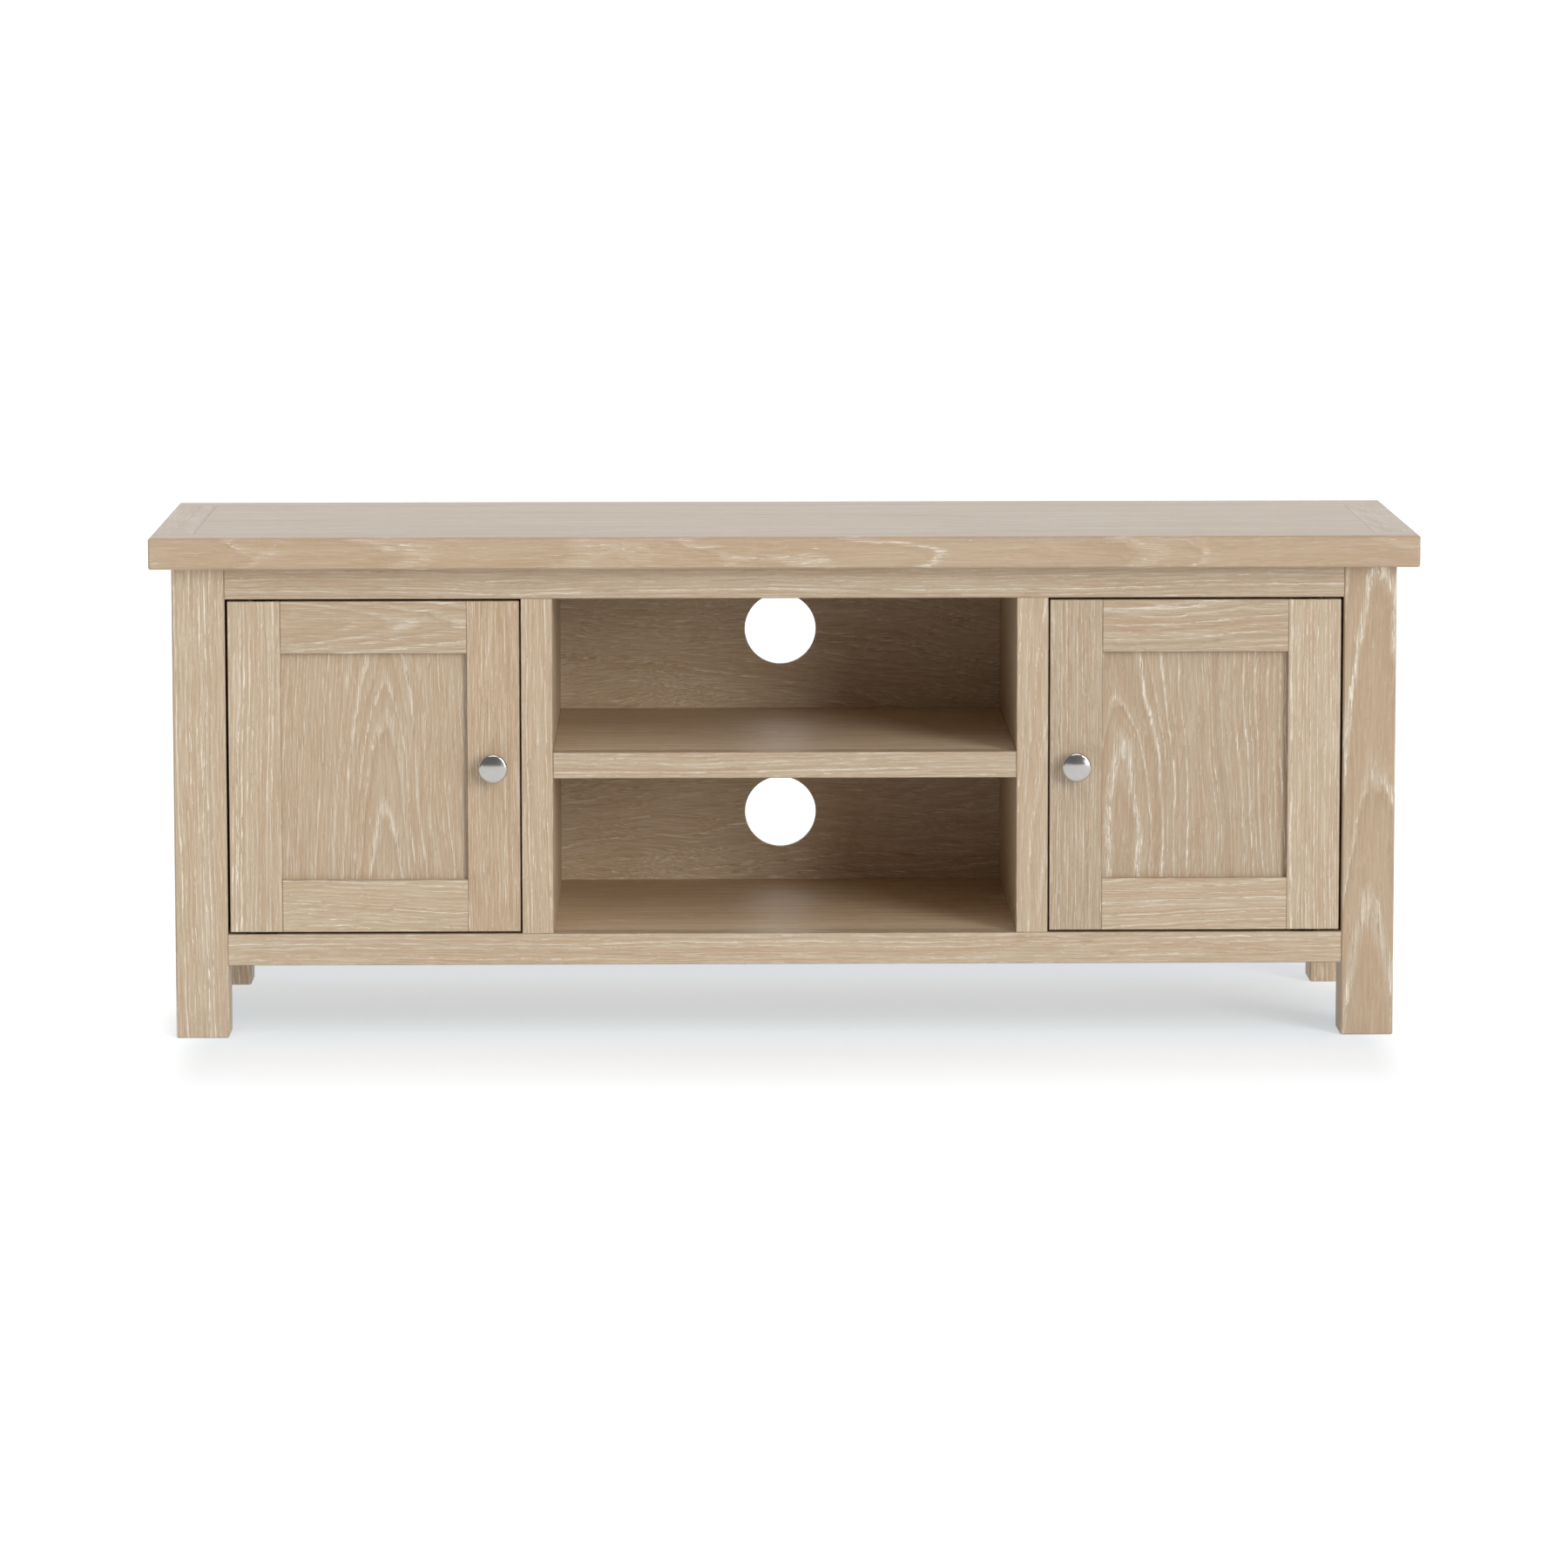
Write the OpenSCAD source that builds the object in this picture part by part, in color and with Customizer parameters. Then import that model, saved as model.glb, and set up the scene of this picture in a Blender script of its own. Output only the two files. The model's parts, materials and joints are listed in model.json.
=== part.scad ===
// Low oak media cabinet: a framed top on four square legs, a framed door at each end
// and an open bay with one shelf between them.
// X runs from left to right, Y from front to back and Z up from the floor.
// The origin is on the floor, under the middle of the top.

/* [Overall] */
// Width over the top
top_w = 1200; // [960:10:1600]
// Depth over the top
top_d = 400; // [320:10:560]
// Height from the floor to the upper face of the top
cabinet_h = 480; // [400:10:640]

/* [Top] */
// Thickness of the top
top_t = 30; // [22:1:40]
// Width of the strips that frame the top
top_strip_w = 40; // [30:1:60]
// Overhang of the top past the front and the ends of the case
top_overhang = 20; // [10:1:40]
// Chamfer on the outer edges of the top and the legs
edge_chamfer = 1.5; // [0.5:0.5:3]

/* [Case frame] */
// Width of each square leg
leg_w = 50; // [40:1:70]
// Height of the rails
rail_h = 30; // [26:1:50]
// Thickness of the rails and of the stiles beside the bay
rail_t = 25; // [24:1:36]
// Width of the stiles beside the bay
stile_w = 30; // [24:1:45]
// Clear height under the front and side rails
floor_gap = 70; // [60:5:140]
// Small chamfer where two members meet
joint_chamfer = 0.5; // [0.2:0.1:1]

/* [Case panels] */
// Thickness of the base panel
base_t = 18; // [16:1:22]
// Thickness of the partitions beside the bay
partition_t = 18; // [15:1:22]
// Thickness of the side panels
side_panel_t = 12; // [8:1:13]
// How far the side panels are set back from the faces of the legs
side_recess = 6; // [3:1:8]
// Thickness of the back panel
back_t = 8; // [5:1:9]
// How far the back panel is set in from the back of the legs
back_recess = 2; // [1:0.5:4]

/* [Centre bay] */
// Clear width of the bay
bay_w = 440; // [300:10:560]
// Thickness of the shelf
shelf_t = 25; // [18:1:32]
// Clear height under the shelf
lower_bay_h = 148.5; // [110:0.5:180]
// Depth of the solid lipping along the front of the shelf
lipping_d = 20; // [14:1:30]
// Diameter of the cable holes
cable_hole_d = 71; // [50:1:80]
// Height of the upper cable hole's centre above the shelf
upper_hole_rise = 79.5; // [45:0.5:90]
// Height of the lower cable hole's centre above the base panel
lower_hole_rise = 68.5; // [45:0.5:90]

/* [Doors] */
// Thickness of the door frames
door_t = 20; // [17:1:24]
// Width of the door stiles and rails
door_frame_w = 50; // [42:1:65]
// Thickness of the door panels
door_panel_t = 6; // [5:1:8]
// How far the door panels are set back from the front of the frames
door_recess = 7; // [5:1:9]
// Gap between a door and its leg
hinge_gap = 2.5; // [2.2:0.1:4]
// Gap between a door and its centre stile
lock_gap = 1.5; // [1:0.1:3]
// Gap above and below a door
door_gap_z = 2; // [1.5:0.1:3]

/* [Hinges] */
// Distance of the pivot from the hinge edge of the door
pivot_inset = 20; // [15:1:22]
// Distance of the pivot behind the front of the door
pivot_depth = 9; // [8:0.5:10]
// Width of the hinge leaves
leaf_w = 12; // [10:1:14]
// Distance between the centres of a leaf's rounded ends
leaf_l = 20; // [18:1:22]
// Thickness of the hinge leaves
leaf_t = 3; // [2:0.5:3.5]
// Radius of the hinge pins
pin_r = 2.5; // [2:0.1:3]
// Radial running clearance of the pins in the door leaves
pin_clearance = 0.05; // [0.03:0.01:0.1]

/* [Knobs] */
// Diameter of the knobs
knob_d = 28; // [20:1:36]
// How far the knobs stand out from the doors
knob_l = 20; // [16:1:20]

/* [Hidden] */
$fn = 64;

LEFT = -1;
RIGHT = 1;
FRONT = -1;
REAR = 1;

limed_oak = [0.78, 0.69, 0.58];
shaded_oak = [0.62, 0.52, 0.41];
bare_wood = [0.72, 0.58, 0.42];
nickel = [0.78, 0.78, 0.76];
dark_steel = [0.16, 0.16, 0.17];
steel = [0.62, 0.63, 0.65];
white_plastic = [0.9, 0.9, 0.88];
felt = [0.25, 0.24, 0.23];

// Main planes of the case
case_x = top_w / 2 - top_overhang;
leg_x = case_x - leg_w;
front_y = -top_d / 2 + top_overhang;
rear_y = top_d / 2;
front_leg_y = front_y + leg_w;
rear_leg_y = rear_y - leg_w;
frame_y = front_y + rail_t;
top_z = cabinet_h - top_t;
top_rail_z = top_z - rail_h;
base_z = floor_gap + rail_h;
base_low_z = base_z - base_t;
mid_z = (base_z + top_rail_z) / 2;

// Back panel and the rails in front of it
back_y = rear_y - back_recess - back_t;
rear_rail_y = back_y - rail_t;
rear_rail_low_z = base_low_z - rail_h;
back_lap = 20;
back_rabbet = 11;

// Mortise and tenon joints
tenon_t = 10;
tenon_l = 18;
mortise_spare = 1;
tenon_shoulder = 5;
stile_tenon_l = 12;

// Tongues and grooves
tongue_l = 8;
groove_d = 9;
top_tongue_t = 10;
base_tongue_t = 8;
base_tongue_l = 5;
base_tongue_inset = 10;
partition_tongue_t = 6;
housing_d = 3;

// Bay
partition_x = bay_w / 2 + partition_t;
stile_x = bay_w / 2 + stile_w;
shelf_z = base_z + lower_bay_h;
shelf_top_z = shelf_z + shelf_t;
upper_hole_z = shelf_top_z + upper_hole_rise;
lower_hole_z = base_z + lower_hole_rise;

// Dowels
dowel_r = 4;
dowel_l = 24;
dowel_inset = 55;
dowel_ys = [frame_y + dowel_inset, (frame_y + back_y) / 2, rear_rail_y - dowel_inset / 2];

// Doors
hinge_x = leg_x - hinge_gap;
lock_x = stile_x + lock_gap;
door_low_z = base_z + door_gap_z;
door_high_z = top_rail_z - door_gap_z;
door_back_y = front_y + door_t;
door_panel_y = front_y + door_recess;
pivot_x = hinge_x - pivot_inset;
pivot_y = front_y + pivot_depth;
pin_reach = 4;
bore_spare = 1;
bore_relief = 0.25;
washer_clearance = 0.1;
washer_bore_clearance = 0.1;

// Door stops, bumpers and catches
stop_lap = 10;
stop_d = 20;
stop_end_gap = 10;
bumper_r = 4;
bumper_rise = 50;
closed_gap = 0.3;
catch_w = 12;
catch_d = 18;
catch_h = 40;
strike_t = 1.5;
strike_inset = 1;
strike_chamfer = 0.3;
magnet_w = 8;
magnet_d = 8;
magnet_h = 24;
catch_x = lock_x + stop_lap;
catch_y = door_back_y + strike_t + closed_gap;
catch_z = top_rail_z - stop_end_gap - catch_h;
catch_screw_inset = 4;
catch_screw_bite = 9;
catch_screw_r = 1.5;

// Fixings
block_l = 60;
block_w = 20;
block_h = 20;
block_screw_pitch = 36;
block_bite = 16;
block_screw_r = 2;
block_x = (partition_x + leg_x) / 2;
back_screw_inset = 50;
back_screw_pitch = (leg_x - back_screw_inset) / 2;
back_screw_l = 22;
back_screw_r = 1.75;

// Knobs
knob_x = lock_x + door_frame_w / 2;
knob_screw_r = 2;
knob_screw_bite = 9;

// ---- Shared shapes ----

// Plain block between its lowest and highest corners
module block(low, high) {
    translate(low) cube(high - low);
}

// Rectangle with its four corners cut off at 45 degrees
module chamfered_rectangle(w, h, c) {
    polygon([[c, 0], [w - c, 0], [w, c], [w, h - c], [w - c, h], [c, h], [0, h - c], [0, c]]);
}

// Block between two corners with all twelve edges chamfered
module eased_block(low, high, c = joint_chamfer) {
    size = high - low;
    translate(low) intersection() {
        linear_extrude(size.z) chamfered_rectangle(size.x, size.y, c);
        translate([0, size.y, 0]) rotate([90, 0, 0])
            linear_extrude(size.y) chamfered_rectangle(size.x, size.z, c);
        rotate([90, 0, 90]) linear_extrude(size.x) chamfered_rectangle(size.y, size.z, c);
    }
}

// The right-hand piece as drawn, or its mirror image for the left
module on_side(side) {
    if (side == RIGHT) children();
    else mirror([1, 0, 0]) children();
}

// The piece as drawn for the right, and its mirror image on the left
module both_sides() {
    children();
    mirror([1, 0, 0]) children();
}

// The piece as drawn at the foot of the doors, and its mirror image at their head
module both_heights() {
    children();
    translate([0, 0, 2 * mid_z]) mirror([0, 0, 1]) children();
}

// Cylinder along +Y from a point
module rod_y(at, r, l) {
    translate(at) rotate([-90, 0, 0]) cylinder(r = r, h = l);
}

// Cylinder along +X from a point
module rod_x(at, r, l) {
    translate(at) rotate([0, 90, 0]) cylinder(r = r, h = l);
}

// Cylinder along +Z from a point
module rod_z(at, r, l) {
    translate(at) cylinder(r = r, h = l);
}

// ---- Fixings that several pieces are bored for ----

// Dowels that hold one partition to the base and the top, and the shelf to it
module side_dowels() {
    for (y = dowel_ys) {
        for (z = [base_z, top_z])
            rod_z([bay_w / 2 + partition_t / 2, y, z - dowel_l / 2], dowel_r, dowel_l);
        rod_x([bay_w / 2 - dowel_l / 2, y, shelf_z + shelf_t / 2], dowel_r, dowel_l);
    }
}

// Centres of the blocks that hold the top, seen from above: one in each corner of a cupboard
block_xs = [-block_x, block_x];
block_ys = [frame_y + block_w / 2, rear_rail_y - block_w / 2];

module top_screw_shanks() {
    for (x = block_xs, y = block_ys, s = [-0.5, 0.5])
        rod_z([x + s * block_screw_pitch, y, top_z - block_h], block_screw_r,
              block_h + block_bite);
}

// Screws that hold the back panel, along the two rear rails and up both partitions
back_screw_rows = [
    for (i = [-2:2], z = [rear_rail_low_z + rail_h - back_lap / 2, top_z - rail_h / 2])
        [i * back_screw_pitch, z],
    for (x = [-1, 1], z = [lower_hole_z, upper_hole_z])
        [x * (bay_w / 2 + partition_t / 2), z]
];

module back_screw_shanks() {
    for (p = back_screw_rows)
        rod_y([p.x, back_y + back_t - back_screw_l, p.y], back_screw_r, back_screw_l);
}

// Outline of a hinge leaf, seen from above
module leaf_outline() {
    translate([pivot_x, pivot_y]) circle(r = leaf_w / 2);
    translate([pivot_x - leaf_l, pivot_y]) circle(r = leaf_w / 2);
    translate([pivot_x - leaf_l, pivot_y - leaf_w / 2]) square([leaf_l, leaf_w]);
}

leaf_screw_shift = 1;
leaf_screw_xs = [pivot_x - leaf_l + leaf_screw_shift, pivot_x - leaf_l / 2 + leaf_screw_shift];
leaf_screw_l = 14;
leaf_screw_r = 1.5;
leaf_head_r = 2.8;
leaf_head_h = 1.6;

// One countersunk screw, its head's flat face at z = 0 and its point upwards
module leaf_screw(spare = 0) {
    cylinder(r1 = leaf_head_r + spare, r2 = leaf_screw_r + spare, h = leaf_head_h);
    cylinder(r = leaf_screw_r + spare, h = leaf_screw_l);
}

// Screws of the door's leaf at the foot of the right door
module door_leaf_screws(spare = 0) {
    for (x = leaf_screw_xs)
        translate([x, pivot_y, door_low_z]) leaf_screw(spare);
}

// Screws of the frame's leaf at the foot of the right door
module foot_leaf_screws(spare = 0) {
    for (x = leaf_screw_xs)
        translate([x, pivot_y, base_z]) mirror([0, 0, 1]) leaf_screw(spare);
}

// ---- Top ----

// Space that the whole top fills, with its chamfered outer edges
module top_envelope() {
    eased_block([-top_w / 2, -top_d / 2, top_z], [top_w / 2, rear_y, cabinet_h], edge_chamfer);
}

strip_x = top_w / 2 - top_strip_w;
strip_y = top_d / 2 - top_strip_w;
top_tongue_z = top_z + (top_t - top_tongue_t) / 2;

// A piece of the top: cut to the outline of the top and bored for its fixings
module top_piece() {
    color(limed_oak) difference() {
        intersection() {
            children();
            top_envelope();
        }
        both_sides() side_dowels();
        top_screw_shanks();
    }
}

module top_centre_panel() {
    top_piece() {
        eased_block([-strip_x, -strip_y, top_z], [strip_x, strip_y, cabinet_h], joint_chamfer / 2);
        block([-strip_x - tongue_l, -strip_y - tongue_l, top_tongue_z],
              [strip_x + tongue_l, strip_y + tongue_l, top_tongue_z + top_tongue_t]);
    }
}

// Strip along the front or the back, grooved for the panel and the end strips
module long_strip(place) {
    top_piece() difference() {
        mirror([0, place == FRONT ? 1 : 0, 0]) eased_block(
            [-top_w / 2, strip_y, top_z], [top_w / 2, rear_y, cabinet_h], joint_chamfer / 2);
        block([-top_w / 2 + tongue_l, -strip_y - tongue_l, top_tongue_z],
              [top_w / 2 - tongue_l, strip_y + tongue_l, top_tongue_z + top_tongue_t]);
    }
}

// Strip across one end, grooved for the panel and tongued into the long strips
module end_strip(side) {
    top_piece() on_side(side) difference() {
        union() {
            eased_block([strip_x, -strip_y, top_z], [top_w / 2, strip_y, cabinet_h],
                        joint_chamfer / 2);
            block([strip_x + tongue_l, -strip_y - tongue_l, top_tongue_z],
                  [top_w / 2 - tongue_l, strip_y + tongue_l, top_tongue_z + top_tongue_t]);
        }
        block([strip_x - 1, -strip_y - 1 - tongue_l, top_tongue_z],
              [strip_x + tongue_l, strip_y + 1 + tongue_l, top_tongue_z + top_tongue_t]);
    }
}

module top_front_strip() {
    long_strip(FRONT);
}

module top_back_strip() {
    long_strip(REAR);
}

module top_left_end() {
    end_strip(LEFT);
}

module top_right_end() {
    end_strip(RIGHT);
}

// ---- Legs and rails ----

// Tenon at the right-hand end of a rail that runs across the case, or its mortise
module cross_tenon(rail_y, rail_z, spare = 0) {
    block([leg_x - 1, rail_y + (rail_t - tenon_t) / 2, rail_z + tenon_shoulder],
          [leg_x + tenon_l + spare, rail_y + (rail_t + tenon_t) / 2,
           rail_z + rail_h - tenon_shoulder]);
}

side_rail_x = case_x - rail_t;

// Tenons at both ends of a rail that runs along the side of the case, or their mortises
module side_tenons(rail_z, spare = 0) {
    block([side_rail_x + (rail_t - tenon_t) / 2, front_leg_y - tenon_l - spare,
           rail_z + tenon_shoulder],
          [side_rail_x + (rail_t + tenon_t) / 2, rear_leg_y + tenon_l + spare,
           rail_z + rail_h - tenon_shoulder]);
}

side_panel_x = case_x - side_recess - side_panel_t;

// Space that the edge of a side panel may fill: the panel grown by its grooves
module side_panel_space(reach) {
    block([side_panel_x, front_leg_y - reach, base_z - reach],
          [side_panel_x + side_panel_t, rear_leg_y + reach, top_rail_z + reach]);
}

// One leg: drawn for the right, with mortises for the rails and a groove for the side panel
module leg(side, place) {
    low_y = place == FRONT ? front_y : rear_leg_y;
    color(limed_oak) on_side(side) difference() {
        eased_block([leg_x, low_y, 0], [case_x, low_y + leg_w, top_z], edge_chamfer);
        for (z = [floor_gap, top_rail_z]) side_tenons(z, mortise_spare);
        side_panel_space(groove_d);
        if (place == FRONT) {
            cross_tenon(front_y, floor_gap, mortise_spare);
            cross_tenon(front_y, top_rail_z, mortise_spare);
        } else {
            cross_tenon(rear_rail_y, rear_rail_low_z, mortise_spare);
            cross_tenon(rear_rail_y, top_rail_z, mortise_spare);
            block([leg_x - 1, back_y, rear_rail_low_z + rail_h - back_lap],
                  [leg_x + back_rabbet, rear_y + 1, top_z + 1]);
        }
    }
}

module front_left_leg() {
    leg(LEFT, FRONT);
}

module front_right_leg() {
    leg(RIGHT, FRONT);
}

module rear_left_leg() {
    leg(LEFT, REAR);
}

module rear_right_leg() {
    leg(RIGHT, REAR);
}

// Rail between two legs, with a tenon at each end
module cross_rail(rail_y, rail_z) {
    eased_block([-leg_x, rail_y, rail_z], [leg_x, rail_y + rail_t, rail_z + rail_h]);
    both_sides() cross_tenon(rail_y, rail_z);
}

// Tenon at the foot of the right-hand stile, or its mortise
module stile_tenon(spare = 0) {
    block([bay_w / 2 + tenon_shoulder, front_y + (rail_t - tenon_t) / 2,
           base_z - stile_tenon_l - spare],
          [stile_x - tenon_shoulder, front_y + (rail_t + tenon_t) / 2, base_z + 1]);
}

// Everything cut into the upper face of the bottom rail: mortises, leaf seats and screw holes
module rail_face_cuts() {
    stile_tenon(mortise_spare);
    translate([0, 0, base_z - leaf_t]) linear_extrude(leaf_t + 1) leaf_outline();
    foot_leaf_screws();
}

module front_top_rail() {
    color(limed_oak) difference() {
        cross_rail(front_y, top_rail_z);
        both_sides() translate([0, 0, 2 * mid_z]) mirror([0, 0, 1]) rail_face_cuts();
    }
}

module front_bottom_rail() {
    color(limed_oak) difference() {
        cross_rail(front_y, floor_gap);
        both_sides() rail_face_cuts();
        base_tongue(mortise_spare / 2);
    }
}

module rear_top_rail() {
    color(bare_wood) difference() {
        cross_rail(rear_rail_y, top_rail_z);
        back_screw_shanks();
    }
}

module rear_bottom_rail() {
    color(bare_wood) difference() {
        cross_rail(rear_rail_y, rear_rail_low_z);
        back_screw_shanks();
    }
}

// Stile beside the bay, tenoned into both front rails and grooved for the partition
module stile(side) {
    color(limed_oak) on_side(side) difference() {
        union() {
            eased_block([bay_w / 2, front_y, base_z], [stile_x, frame_y, top_rail_z]);
            both_heights() stile_tenon();
        }
        partition_tongue();
    }
}

module left_stile() {
    stile(LEFT);
}

module right_stile() {
    stile(RIGHT);
}

// Rail along the side of the case, tenoned into the legs and grooved for the side panel
module side_rail(side, rail_z) {
    color(limed_oak) on_side(side) difference() {
        union() {
            eased_block([side_rail_x, front_leg_y, rail_z], [case_x, rear_leg_y, rail_z + rail_h]);
            side_tenons(rail_z);
        }
        side_panel_space(groove_d);
        base_tongue(mortise_spare / 2);
    }
}

module left_side_top_rail() {
    side_rail(LEFT, top_rail_z);
}

module left_side_bottom_rail() {
    side_rail(LEFT, floor_gap);
}

module right_side_top_rail() {
    side_rail(RIGHT, top_rail_z);
}

module right_side_bottom_rail() {
    side_rail(RIGHT, floor_gap);
}

// ---- Panels ----

module side_panel(side) {
    color(limed_oak) on_side(side) side_panel_space(tongue_l);
}

module left_side_panel() {
    side_panel(LEFT);
}

module right_side_panel() {
    side_panel(RIGHT);
}

base_tongue_z = base_low_z + (base_t - base_tongue_t) / 2;

// Tongue round the front and the ends of the base panel, or the groove for it
module base_tongue(spare = 0) {
    block([-leg_x + base_tongue_inset, frame_y - base_tongue_l - spare, base_tongue_z],
          [leg_x - base_tongue_inset, frame_y + 1, base_tongue_z + base_tongue_t]);
    block([-side_rail_x - base_tongue_l - spare, front_leg_y + base_tongue_inset, base_tongue_z],
          [side_rail_x + base_tongue_l + spare, rear_leg_y - base_tongue_inset,
           base_tongue_z + base_tongue_t]);
}

// Base panel, notched round the legs and housed for the partitions
module base_panel() {
    color(limed_oak) difference() {
        union() {
            block([-leg_x, frame_y, base_low_z], [leg_x, back_y, base_z]);
            block([-side_rail_x, front_leg_y, base_low_z], [side_rail_x, rear_leg_y, base_z]);
            base_tongue();
        }
        both_sides() side_dowels();
        both_sides() block([bay_w / 2, frame_y - 1, base_z - housing_d],
                           [partition_x, back_y + 1, base_z + 1]);
    }
}

// Tongue on the front edge of the right-hand partition, which is also its groove
module partition_tongue() {
    block([bay_w / 2 + (partition_t - partition_tongue_t) / 2, frame_y - base_tongue_l,
           base_z + stop_end_gap],
          [bay_w / 2 + (partition_t + partition_tongue_t) / 2, frame_y + 1,
           top_rail_z - stop_end_gap]);
}

// Partition beside the bay, let into the base panel and notched for the rear top rail
module partition(side) {
    color(limed_oak) on_side(side) difference() {
        union() {
            block([bay_w / 2, frame_y, base_z - housing_d], [partition_x, back_y, top_z]);
            partition_tongue();
        }
        block([bay_w / 2 - 1, rear_rail_y, top_rail_z], [partition_x + 1, back_y + 1, top_z + 1]);
        side_dowels();
        back_screw_shanks();
    }
}

module left_partition() {
    partition(LEFT);
}

module right_partition() {
    partition(RIGHT);
}

lipping_y = front_y + lipping_d;

// Tongue on the front edge of the shelf board, which is also its groove
module shelf_tongue() {
    block([-bay_w / 2 + base_tongue_inset, lipping_y - tongue_l,
           shelf_z + (shelf_t - base_tongue_t) / 2],
          [bay_w / 2 - base_tongue_inset, lipping_y + 1,
           shelf_z + (shelf_t + base_tongue_t) / 2]);
}

module shelf_board() {
    color(limed_oak) difference() {
        union() {
            block([-bay_w / 2, lipping_y, shelf_z], [bay_w / 2, back_y, shelf_top_z]);
            shelf_tongue();
        }
        both_sides() side_dowels();
    }
}

module shelf_lipping() {
    color(limed_oak) difference() {
        eased_block([-bay_w / 2, front_y, shelf_z], [bay_w / 2, lipping_y, shelf_top_z]);
        shelf_tongue();
    }
}

module carcass_dowels() {
    color(bare_wood) both_sides() side_dowels();
}

// Back panel with its two cable holes
module back_panel() {
    color(shaded_oak) difference() {
        block([-leg_x - back_rabbet, back_y, rear_rail_low_z + rail_h - back_lap],
              [leg_x + back_rabbet, back_y + back_t, top_z]);
        for (z = [lower_hole_z, upper_hole_z])
            rod_y([0, back_y - 1, z], cable_hole_d / 2, back_t + 2);
        back_screw_shanks();
    }
}

module back_panel_screws() {
    head_r = 3.5;
    head_h = 1.8;
    color(steel) {
        back_screw_shanks();
        for (p = back_screw_rows) rod_y([p.x, back_y + back_t, p.y], head_r, head_h);
    }
}

// ---- Fixings of the top ----

module top_fixing_blocks() {
    color(bare_wood) difference() {
        for (x = block_xs, y = block_ys)
            block([x - block_l / 2, y - block_w / 2, top_z - block_h],
                  [x + block_l / 2, y + block_w / 2, top_z]);
        top_screw_shanks();
    }
}

module top_fixing_screws() {
    head_r = 4;
    head_h = 2.5;
    color(steel) {
        top_screw_shanks();
        for (x = block_xs, y = block_ys, s = [-0.5, 0.5])
            rod_z([x + s * block_screw_pitch, y, top_z - block_h - head_h], head_r, head_h);
    }
}

// ---- Door stops and catches ----

catch_screw_zs = [catch_z + catch_screw_inset, catch_z + catch_h - catch_screw_inset];
catch_screw_y = catch_y + catch_d / 2 + 2 * catch_screw_r;

// Shanks of the two screws through the right-hand catch
module catch_screw_shanks() {
    for (z = catch_screw_zs)
        rod_x([catch_x - catch_screw_bite, catch_screw_y, z], catch_screw_r,
              catch_screw_bite + catch_w);
}

// Strip behind the lock edge of each door, glued to the partition and the stile
module door_stops() {
    color(limed_oak) both_sides() difference() {
        eased_block([partition_x, frame_y, base_z + stop_end_gap],
                    [catch_x, frame_y + stop_d, top_rail_z - stop_end_gap]);
        catch_screw_shanks();
    }
}

// Felt pads that each door closes against
module door_bumpers() {
    color(felt) both_sides() both_heights()
        rod_y([lock_x + stop_lap / 2, door_back_y + closed_gap, base_z + bumper_rise],
              bumper_r, frame_y - door_back_y - closed_gap);
}

// Magnet of the right-hand catch
module magnet() {
    block([catch_x + (catch_w - magnet_w) / 2, catch_y, catch_z + (catch_h - magnet_h) / 2],
          [catch_x + (catch_w + magnet_w) / 2, catch_y + magnet_d,
           catch_z + (catch_h + magnet_h) / 2]);
}

module catch_bodies() {
    color(white_plastic) both_sides() difference() {
        eased_block([catch_x, catch_y, catch_z],
                    [catch_x + catch_w, catch_y + catch_d, catch_z + catch_h]);
        magnet();
        catch_screw_shanks();
    }
}

module catch_magnets() {
    color(steel) both_sides() magnet();
}

module catch_screws() {
    head_r = 2.8;
    head_h = 1.6;
    color(steel) both_sides() {
        catch_screw_shanks();
        for (z = catch_screw_zs) rod_x([catch_x + catch_w, catch_screw_y, z], head_r, head_h);
    }
}

// ---- Hinges on the frame ----

screw_spare = 0.05;

// Four leaves let into the front rails, each with its fixed pin
module frame_hinge_leaves() {
    color(dark_steel) both_sides() both_heights() difference() {
        union() {
            translate([0, 0, base_z - leaf_t]) linear_extrude(leaf_t) leaf_outline();
            rod_z([pivot_x, pivot_y, base_z - leaf_t], pin_r,
                  leaf_t + door_gap_z + leaf_t + pin_reach);
        }
        foot_leaf_screws(screw_spare);
    }
}

module frame_leaf_screws() {
    color(steel) both_sides() both_heights() foot_leaf_screws();
}

// Washers that fill the gap between the leaves
module hinge_washers() {
    color(dark_steel) both_sides() both_heights() difference() {
        rod_z([pivot_x, pivot_y, base_z], leaf_w / 2, door_gap_z - washer_clearance);
        rod_z([pivot_x, pivot_y, base_z - 1], pin_r + washer_bore_clearance, door_gap_z + 2);
    }
}

// ---- Doors ----

groove_y0 = door_panel_y;
groove_y1 = door_panel_y + door_panel_t;

// Upright of the right door's frame, grooved down its inner edge except at its solid ends
module door_stile(low_x, groove_x) {
    difference() {
        eased_block([low_x, front_y, door_low_z], [low_x + door_frame_w, door_back_y, door_high_z]);
        block([groove_x, groove_y0, door_low_z + tenon_shoulder],
              [groove_x + groove_d, groove_y1, door_high_z - tenon_shoulder]);
    }
}

// Bore in the door for one pin, its leaf and the leaf's screws
module hinge_seat() {
    translate([0, 0, door_low_z - 1]) linear_extrude(leaf_t + 1) leaf_outline();
    rod_z([pivot_x, pivot_y, door_low_z], pin_r + pin_clearance + bore_relief,
          leaf_t + pin_reach + bore_spare);
    door_leaf_screws();
}

module door_hinge_stile(side) {
    stile_low_x = hinge_x - door_frame_w;
    color(limed_oak) on_side(side) difference() {
        door_stile(stile_low_x, stile_low_x);
        both_heights() hinge_seat();
    }
}

module door_lock_stile(side) {
    color(limed_oak) on_side(side) difference() {
        door_stile(lock_x, lock_x + door_frame_w - groove_d);
        rod_y([knob_x, front_y - 1, mid_z], knob_screw_r, door_t + 2);
    }
}

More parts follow.
